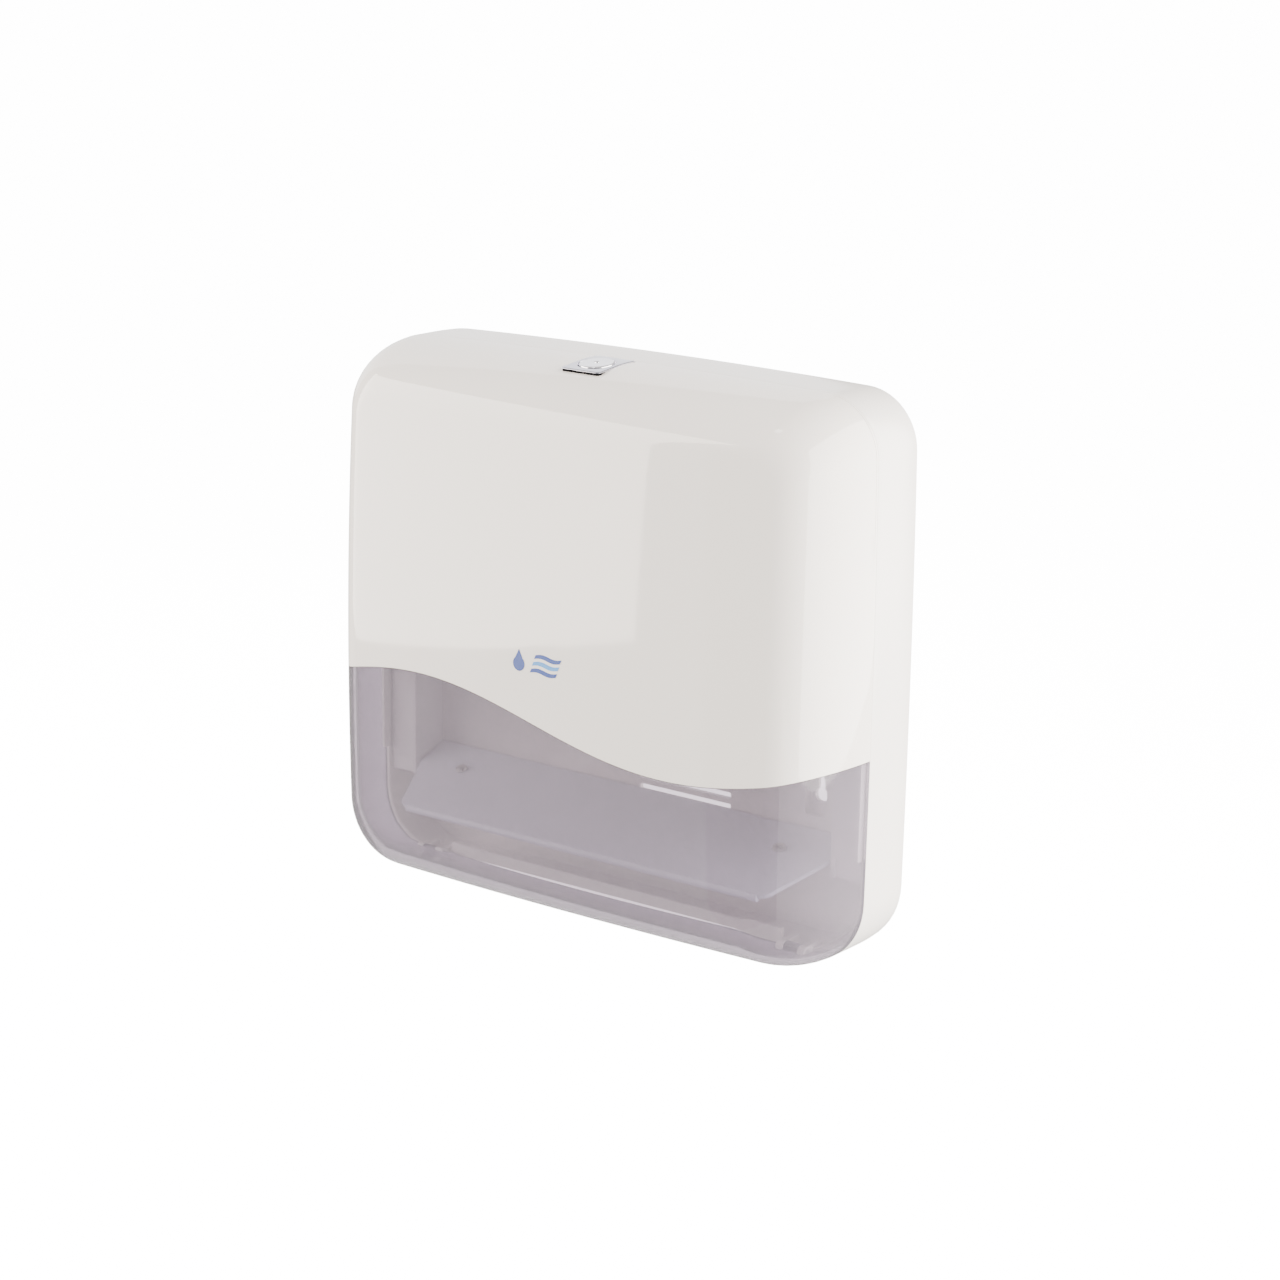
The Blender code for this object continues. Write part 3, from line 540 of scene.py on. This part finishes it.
def shell_rings():
    """The outside of the back shell, from the wall to its slightly rounded front rim."""
    rings = [level_ring(BACK_IN + 0.0006, 0)]
    steps = 10
    for step in range(1, steps + 1):
        angle = math.radians(90) * step / steps
        rings.append(level_ring(BACK_IN * (1 - math.sin(angle)), -BACK_DEEP * (1 - math.cos(angle))))
    for y in (-0.024, -0.029):
        rings.append(level_ring(0, y))
    edge = ROUNDING / 2
    for k in range(4):
        angle = math.radians(90) * k / 3
        rings.append(level_ring(edge * (1 - math.cos(angle)), -SHELL_FRONT + edge * (1 - math.sin(angle))))
    return rings


def front_hollow():
    """The towel compartment in front of the plate, with a rounded floor edge and an eased rim."""
    round_off = 0.0014
    ease = 0.0005
    rings = [level_ring(RIM + round_off, -PLATE_FRONT)]
    rings.append(level_ring(RIM + 0.0004, -PLATE_FRONT - 0.0004))
    rings.append(level_ring(RIM, -PLATE_FRONT - round_off))
    rings.append(level_ring(RIM, -SHELL_FRONT + ease))
    rings.append(level_ring(RIM - ease, -SHELL_FRONT))
    rings.append(level_ring(RIM - ease, -SHELL_FRONT - 0.002))
    return helper(loft(rings))


def rear_hollow():
    """The space between the plate and the wall, with an eased rim and a rounded floor edge."""
    inset = BACK_IN + WALL
    ease = 0.0005
    round_off = 0.001
    rings = [level_ring(inset - ease, 0.002), level_ring(inset - ease, 0)]
    rings.append(level_ring(inset, -ease))
    rings.append(level_ring(inset, -PLATE_BACK + round_off))
    rings.append(level_ring(inset + round_off, -PLATE_BACK))
    return helper(loft(rings))


def front_lip():
    """A low lip along the front of the bottom wall, with two eased edges."""
    back = -0.0309
    ease = 0.0004
    low = BOTTOM + 0.0008
    high = BOTTOM + LIP_HEIGHT
    points = [(-SHELL_FRONT, low), (back, low), (back, high - ease), (back - ease, high)]
    points += [(-SHELL_FRONT + ease, high), (-SHELL_FRONT, high - ease)]
    return helper(prism(points, -LIP_HALF, LIP_HALF, "X"))


def make_back_shell():
    bm = loft(shell_rings())
    piece = add_piece("back_case", bm, SHELL_WHITE, "wall_unit", ("back_shell",))
    boolean(piece, [front_hollow(), rear_hollow()], "DIFFERENCE")

    pads = [((0, 0), CENTRE_PAD, CENTRE_FLOOR)] + [(spot, KEYHOLE_PAD, KEYHOLE_FLOOR) for spot in KEYHOLES]
    root = -PLATE_BACK - 0.0010
    blocks = [helper(rounded_block(centre, half, 0.0030, root, 0)) for centre, half, _ in pads]
    blocks += [helper(rounded_block(spot, (BOSS_HALF, BOSS_HALF), 0.0020, root, 0)) for spot in BOSSES]
    blocks.append(front_lip())
    cuts = []
    for side in (-1, 1):
        blocks.append(side_rib(side))
        x = side * TRAY_SCREW[0]
        blocks.append(box_helper((x - BOSS_HALF, -0.027, -0.012), (x + BOSS_HALF, 0.003, TRAY_UNDER), TRAY))
        cuts.append(bore_helper(x, TRAY_SCREW[1], -0.0095, 0.002, SCREW_BORE, TRAY))
        for start, end in (KNUCKLE_X[0:2], KNUCKLE_X[4:6]):
            xs = sorted((side * start, side * end))
            blocks.append(hinge_bar(xs, KNUCKLE, 48))
            low = (xs[0] + 0.0001, AXIS.y, AXIS.z - KNUCKLE + 0.0002)
            blocks.append(box_helper(low, (xs[1] - 0.0001, -0.026, AXIS.z + KNUCKLE - 0.0002)))
        xs = sorted((side * (KNUCKLE_X[0] - 0.002), side * (KNUCKLE_X[5] + 0.002)))
        cuts.append(hinge_bar(xs, PIN_BORE))
    boolean(piece, blocks, "UNION")

    for centre, half, floor in pads:
        inner = (half[0] - PAD_RIM, half[1] - PAD_RIM)
        cuts.append(helper(rounded_block(centre, inner, 0.0012, -PLATE_FRONT - 0.002, -floor[1])))
        if floor[0] > 0:
            cuts.append(helper(rounded_block(centre, inner, 0.0012, 0.002, -floor[0])))
    for x, z in KEYHOLES:
        cuts.append(helper(prism(keyhole_outline(x, z), -PLATE_FRONT - 0.001, 0.001, "Y")))
    for x, z in BOSSES:
        cuts.append(helper(tube_between((x, -0.012, z), (x, -0.0032, z), SCREW_BORE)))
    for z in VENT_MIDDLES:
        cuts.append(helper(prism(rounded_rectangle((VENT_X, z), VENT_HALF, 0.0008), -0.013, -0.006, "Y")))
    boolean(piece, cuts, "DIFFERENCE")


# ---- Cover ----
def wave_line(shift):
    half = WIDTH / 2 + 0.01
    count = 120
    xs = [half - 2 * half * k / count for k in range(count + 1)]
    return [(x, wave_z(x) + shift) for x in xs]


def level_line(z):
    half = WIDTH / 2 + 0.01
    return [(half, z), (-half, z)]


def band(upper, lower):
    """A deep block between two lines that both run from right to left."""
    return helper(prism(upper + lower[::-1], -0.12, 0.0, "Y"))


def wall_sheet(name, look, replaces, offset, thickness, back_y, region):
    """A closed sheet of the cover's shape, kept only inside the region."""
    piece = add_piece(name, loft(cover_rings(offset, back_y)), look, "cover", (replaces,))
    boolean(piece, [helper(loft(cover_rings(offset + thickness, -SEAM + 0.002)))], "DIFFERENCE")
    boolean(piece, [region], "INTERSECT")
    return piece


def make_cover_shell():
    region = band(level_line(TOP + 0.02), wave_line(WAVE_GAP / 2))
    back_y = -SEAM - SEAM_GAP
    piece = wall_sheet("cover_white_shell", WHITE, "cover_shell", 0, WALL, back_y, region)
    boolean(piece, [bore_helper(0, 0, -0.02, 0.01, WELL_RADIUS, LOCK)], "DIFFERENCE")


def mouth_cutter():
    """The arched notch in the cover's lower rear edge."""
    count = 40
    points = [(MOUTH_HALF, BEHIND_SEAM), (-MOUTH_HALF, BEHIND_SEAM)]
    for k in range(count + 1):
        x = -MOUTH_HALF + 2 * MOUTH_HALF * k / count
        points.append((x, -SEAM - MOUTH_DEEP * (1 - (x / MOUTH_HALF) ** 2) - 0.0004))
    return helper(prism(points, BOTTOM - 0.015, BOTTOM + 0.015, "Z"))


def hinge_edge_cutter():
    """What the lower rear edge loses so that it can swing round the hinge's axis."""
    reach = WIDTH / 2 + 0.005
    low = BOTTOM - 0.03
    corner = [(AXIS.y, low), (BEHIND_SEAM, low), (BEHIND_SEAM, AXIS.z), (AXIS.y, AXIS.z)]
    edge = helper(prism(corner, -reach, reach, "X"))
    boolean(edge, [hinge_bar((-reach - 0.01, reach + 0.01), HINGE_SWEEP, 48)], "DIFFERENCE")
    return edge


def make_window():
    region = band(wave_line(-WAVE_GAP / 2), level_line(BOTTOM - 0.02))
    back_y = -SEAM - SEAM_GAP
    piece = wall_sheet("smoke_window", SMOKE, "window", 0, WALL, back_y, region)
    cuts = [mouth_cutter(), hinge_edge_cutter()]
    barrels = []
    bores = []
    room_front = -0.0416
    web_front = -0.0450
    for side in (-1, 1):
        xs = sorted((side * (KNUCKLE_X[0] - 0.0004), side * (KNUCKLE_X[5] + 0.0004)))
        room = [(xs[0], room_front), (xs[1], room_front), (xs[1], BEHIND_SEAM), (xs[0], BEHIND_SEAM)]
        cuts.append(helper(prism(room, BOTTOM - 0.01, AXIS.z + 0.0042, "Z")))
        xs = sorted((side * KNUCKLE_X[2], side * KNUCKLE_X[3]))
        barrels.append(hinge_bar(xs, KNUCKLE))
        low = AXIS.z - KNUCKLE + 0.0002
        high = AXIS.z - 0.0002
        web = [(web_front, low), (AXIS.y, low), (AXIS.y, high), (web_front, high)]
        barrels.append(helper(prism(web, xs[0] + 0.0001, xs[1] - 0.0001, "X")))
        bores.append(hinge_bar((xs[0] - 0.001, xs[1] + 0.001), PIN_BORE))
    boolean(piece, cuts, "DIFFERENCE")
    boolean(piece, barrels, "UNION")
    boolean(piece, bores, "DIFFERENCE")
    piece.visible_shadow = False


def make_tongue():
    """The upper edge of the window that reaches behind the white shell."""
    region = band(wave_line(0.009), wave_line(-0.0004))
    inset = WALL + 0.0003
    back_y = -SEAM - 0.0012
    piece = wall_sheet("window_tongue", SMOKE, "window", inset, 0.0016, back_y, region)
    piece.visible_shadow = False


def lay_on_face(name, points, look):
    """A thin printed shape that lies on the curved front."""
    thickness = 0.00018
    sunk = 0.00002
    rings = [[(x, face_y(x, z) + lift, z) for x, z in points] for lift in (sunk, -thickness)]
    add_piece(name, loft(rings), look, "cover", ("emblem",))


def make_emblem():
    """A plain pictogram: a drop beside a folded sheet of three waves."""
    low_corner, high_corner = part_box("emblem")
    centre_z = (low_corner[2] + high_corner[2]) / 2
    radius = 0.0034
    drop_x = -0.0125
    drop_z = centre_z - 0.0016
    drop = []
    for k in range(28):
        angle = math.radians(-230 + 280 * k / 27)
        drop.append((drop_x + radius * math.cos(angle), drop_z + radius * math.sin(angle)))
    drop.append((drop_x, centre_z + 0.0052))
    lay_on_face("emblem_drop", drop, BLUE)

    length = 0.0150
    stroke = 0.0019
    swing = 0.0006
    steps = 12
    for index in range(3):
        left = -0.0058 + 0.0012 * index
        low = centre_z - 0.0046 + 0.0034 * index
        shares = [k / steps for k in range(steps + 1)]
        under = [(left + length * share, low + swing * math.sin(share * math.pi * 2)) for share in shares]
        over = [(x + 0.00088, z + stroke) for x, z in reversed(under)]
        lay_on_face(f"emblem_sheet_{index + 1}", under + over, PALE_BLUE if index == 1 else BLUE)


# ---- Lock ----
def plate_z(y):
    """The plate follows the top of the cover and runs straight on where the cover turns down."""
    if y > PLATE_BEND:
        return top_z(y)
    step = 0.0001
    slope = (top_z(PLATE_BEND + step) - top_z(PLATE_BEND)) / step
    return top_z(PLATE_BEND) + slope * (y - PLATE_BEND)


def plate_reach(angle, inset):
    """How far the plate's outline lies from the button's centre in the direction of the angle."""
    middle_y = (PLATE_Y[0] + PLATE_Y[1]) / 2
    half_y = (PLATE_Y[1] - PLATE_Y[0]) / 2
    radius = PLATE_CORNER - inset * 0.3
    flat_x = PLATE_HALF - inset - radius
    flat_y = half_y - inset - radius
    low = 0.0
    high = 0.03
    best = high
    for _ in range(24):
        best = (low + high) / 2
        over_x = abs(math.cos(angle) * best) - flat_x
        over_y = abs(LOCK_Y - middle_y + math.sin(angle) * best) - flat_y
        outside = math.hypot(max(over_x, 0), max(over_y, 0)) + min(max(over_x, over_y), 0)
        if outside < radius:
            low = best
        else:
            high = best
    return best


def plate_reaches(inset):
    return [plate_reach(angle, inset) for angle in LOCK_ANGLES]


def lock_ring(reaches, surface, lift):
    """A ring round the button, lifted off a surface that is given as a height for each y."""
    ring = []
    for angle, reach in zip(LOCK_ANGLES, reaches):
        y = LOCK_Y + reach * math.sin(angle)
        ring.append((reach * math.cos(angle), y, surface(y) + lift))
    return ring


def make_escutcheon():
    """A thin bright plate with a round hole and rolled edges."""
    eased = HOLE_RADIUS + 0.0005
    outer = 0.0009
    rings = []
    hole_edge = ((HOLE_RADIUS, 0.0050), (HOLE_RADIUS, 0.0004), (HOLE_RADIUS + 0.00015, 0.0001), (eased, 0.0))
    for radius, drop in hole_edge:
        rings.append(lock_ring([radius] * len(LOCK_ANGLES), plate_z, PLATE_LIFT - drop))
    for share in (0.25, 0.5, 0.75):
        reaches = [eased * (1 - share) + reach * share for reach in plate_reaches(outer)]
        rings.append(lock_ring(reaches, plate_z, PLATE_LIFT))
    for inset, drop in ((outer, 0.0), (0.0005, 0.00008), (0.0002, 0.00028), (0.0, 0.0003), (0.0, 0.0004)):
        rings.append(lock_ring(plate_reaches(inset), plate_z, PLATE_LIFT - drop))
    add_piece("lock_plate", endless_loft(rings), CHROME, "cover", ("lock_escutcheon",))


def make_painted_gap_shade():
    """A black strip that fills the gap between the plate and the cover; its black is painted shade and a
    painted dark reflection under the plate's edge.
    """
    under = (top_z, -0.0008)
    over = (plate_z, 0.0001)
    rings = []
    for inset, (surface, lift) in ((0.0045, under), (0.0005, under), (0.0005, over), (0.0045, over)):
        reaches = [max(reach, HOLE_RADIUS + 0.0003) for reach in plate_reaches(inset)]
        rings.append(lock_ring(reaches, surface, lift))
    add_piece("lock_painted_gap_shade", endless_loft(rings), GAP_SHADE_BLACK, "cover", ("lock_escutcheon",))


def make_button():
    """A round cap with a small dimple, on a stem with a groove for its clip."""
    dimple_z = CAP_TOP - 0.0009
    edge = 0.0009
    profile = [(0, dimple_z), (0.0009, dimple_z), (0.0011, CAP_TOP - 0.0003), (0.0015, CAP_TOP - 0.00005)]
    profile += [(0.0022, CAP_TOP), (CAP_RADIUS - 0.0012, CAP_TOP - 0.0001)]
    for k in range(1, 6):
        angle = math.radians(90) * k / 5
        across = CAP_RADIUS - edge + edge * math.sin(angle)
        profile.append((across, CAP_TOP - 0.0010 + edge * math.cos(angle)))
    skirt_z = -0.0032
    collar_z = -0.0142
    groove = (-0.0182, -0.0190)
    foot_z = -0.0198
    profile += [(CAP_RADIUS, skirt_z), (STEM_COLLAR, skirt_z), (STEM_COLLAR, collar_z)]
    profile += [(STEM_RADIUS, collar_z), (STEM_RADIUS, groove[0]), (STEM_NECK, groove[0])]
    profile += [(STEM_NECK, groove[1]), (STEM_RADIUS, groove[1]), (STEM_RADIUS, foot_z), (0, foot_z)]
    add_piece("push_button", turned(profile, LOCK, 64), BUTTON, "button", ("lock_button",))


# ---- Stage ----
PALE_CARD = (0.9, 0.9, 0.9)


def stage_look(name, colour, spread=0.004, glow=(1, 1, 1), strength=0.0):
    """A matt or evenly lit card; it is left out of the light sampling, because no surface is lit by it."""
    look, tree, shader = node_material(name)
    cloud = add_noise(tree, 0.4)
    vary_colour(tree, shader, cloud, colour, spread)
    shader.inputs["Roughness"].default_value = 0.9
    shader.inputs["Emission Color"].default_value = (*glow, 1)
    shader.inputs["Emission Strength"].default_value = strength
    look.cycles.emission_sampling = "NONE"
    return look


def stage_piece(name, bm, look, seen_by):
    """A piece of the studio that takes part in only one kind of ray."""
    piece = add_piece(name, bm, look, None)
    piece.visible_camera = seen_by == "camera"
    piece.visible_diffuse = False
    piece.visible_glossy = seen_by == "glossy"
    piece.visible_transmission = seen_by == "transmission"
    piece.visible_shadow = False


def upright_plane(half, centre, turn=0):
    """A square that faces along Y, then turned about the world's vertical axis."""
    bm = bmesh.new()
    bmesh.ops.create_grid(bm, x_segments=8, y_segments=8, size=half)
    bmesh.ops.rotate(bm, verts=bm.verts, matrix=Matrix.Rotation(math.radians(90), 3, "X"))
    bmesh.ops.translate(bm, verts=bm.verts, vec=centre)
    bmesh.ops.rotate(bm, verts=bm.verts, matrix=Matrix.Rotation(math.radians(turn), 3, "Z"))
    return bm


def make_sweep():
    """A pale floor and dome that only the camera sees."""
    bm = bmesh.new()
    bmesh.ops.create_uvsphere(bm, u_segments=48, v_segments=24, radius=7)
    floor_z = BOTTOM - 0.30
    for vert in bm.verts:
        vert.co.z = max(vert.co.z, 0) + floor_z
    bmesh.ops.remove_doubles(bm, verts=bm.verts, dist=0.001)
    stage_piece("studio_sweep", bm, stage_look("studio_sweep", PALE_CARD, strength=14.0), "camera")


def make_cards():
    """Two lit walls that are seen only through the window, and two cards that only reflections see."""
    half = 1.6
    left = -0.728
    low = -0.385
    look = stage_look("studio_wall", PALE_CARD, glow=(1.0, 0.97, 0.95), strength=3.2)
    stage_piece("studio_wall", upright_plane(half, (half + left, 0.6, half + low)), look, "transmission")
    look = stage_look("studio_low_wall", PALE_CARD, glow=(1.0, 0.89, 0.90), strength=2.1)
    stage_piece("studio_low_wall", upright_plane(2.2, (-0.4, 0.61, 0)), look, "transmission")
    look = stage_look("studio_flag", (0.01, 0.01, 0.01), 0.05)
    stage_piece("studio_flag", upright_plane(2.0, (0, -2.5, 0), 16), look, "glossy")
    half = 0.8
    high = -0.19
    look = stage_look("studio_side_card", (0.2, 0.2, 0.2), 0.01, (1.0, 0.95, 0.92), 1.5)
    stage_piece("studio_side_card", upright_plane(half, (0, -0.6, high - half), 90), look, "glossy")


def make_world():
    world = bpy.data.worlds.new("Studio")
    bpy.context.scene.world = world
    world.use_nodes = True
    background = world.node_tree.nodes["Background"]
    background.inputs["Color"].default_value = (1.0, 0.965, 0.93, 1)
    background.inputs["Strength"].default_value = 1.15


def make_softbox(name, azimuth, elevation, distance, size, radiance, colour):
    """An area light that faces the object; azimuth is counted from the front towards the right side."""
    across = math.radians(azimuth)
    rise = math.radians(elevation)
    level = math.cos(rise)
    direction = Vector((math.sin(across) * level, -math.cos(across) * level, math.sin(rise)))
    lamp = bpy.data.lights.new(name, "AREA")
    lamp.shape = "RECTANGLE"
    lamp.size = size[0]
    lamp.size_y = size[1]
    lamp.energy = radiance * math.pi * size[0] * size[1]
    lamp.color = colour
    thing = bpy.data.objects.new(name, lamp)
    bpy.context.scene.collection.objects.link(thing)
    thing.location = Vector((0, -0.05, 0)) + direction * distance
    thing.rotation_euler = direction.to_track_quat("Z", "Y").to_euler()
    thing.visible_camera = False
    thing.visible_transmission = False


def make_camera():
    """A long lens from the front right, a little above the case."""
    camera = bpy.data.cameras.new("Camera")
    camera.sensor_width = 36
    camera.lens = 90.79
    thing = bpy.data.objects.new("Camera", camera)
    bpy.context.scene.collection.objects.link(thing)
    right = Vector((0.79322, 0.60877, 0.01451))
    up = Vector((-0.16484, 0.19173, 0.96751))
    back = right.cross(up)
    turn = Matrix((right, up, back)).transposed().to_4x4()
    place = Matrix.Translation((0.89696, -1.19095, 0.51202 + BOTTOM))
    thing.matrix_world = place @ turn
    bpy.context.scene.camera = thing


def dress_nodes():
    """Gives the parts that are shown as they come in the frame their materials."""
    looks = {
        "towel_guide_left": INNER_WHITE,
        "towel_guide_right": INNER_WHITE,
        # The tray's bluer colour is painted shade.
        "towel_tray": TRAY_COOL_SHADE_WHITE,
        "back_shell": SHELL_WHITE,
        "catch_bracket": STEEL,
        "latch_housing": ACETAL,
        "latch_lever": ACETAL,
        "button_spring": WIRE,
        "stem_clip": STEEL,
    }
    for name, node in frame["nodes"].items():
        look = looks.get(name, STEEL if "clip" in name else ZINC)
        for slot in node.material_slots:
            slot.material = look


dress_nodes()
make_back_shell()
make_cover_shell()
make_window()
make_tongue()
make_emblem()
make_escutcheon()
make_painted_gap_shade()
make_button()
make_sweep()
make_cards()
make_world()
make_camera()
make_softbox("front_left", -54.6, 13, 1.5, (1.6, 1.5), 9.6, (1.0, 0.93, 0.84))
make_softbox("right", 108, 6, 0.95, (1.6, 1.7), 11.0, (1.0, 0.955, 0.89))
make_softbox("overhead", -30, 75, 1.6, (0.28, 0.16), 10.0, (1.0, 0.98, 0.96))
make_softbox("back_left", -126, 22, 1.8, (1.6, 1.4), 1.8, (0.93, 0.95, 1.0))
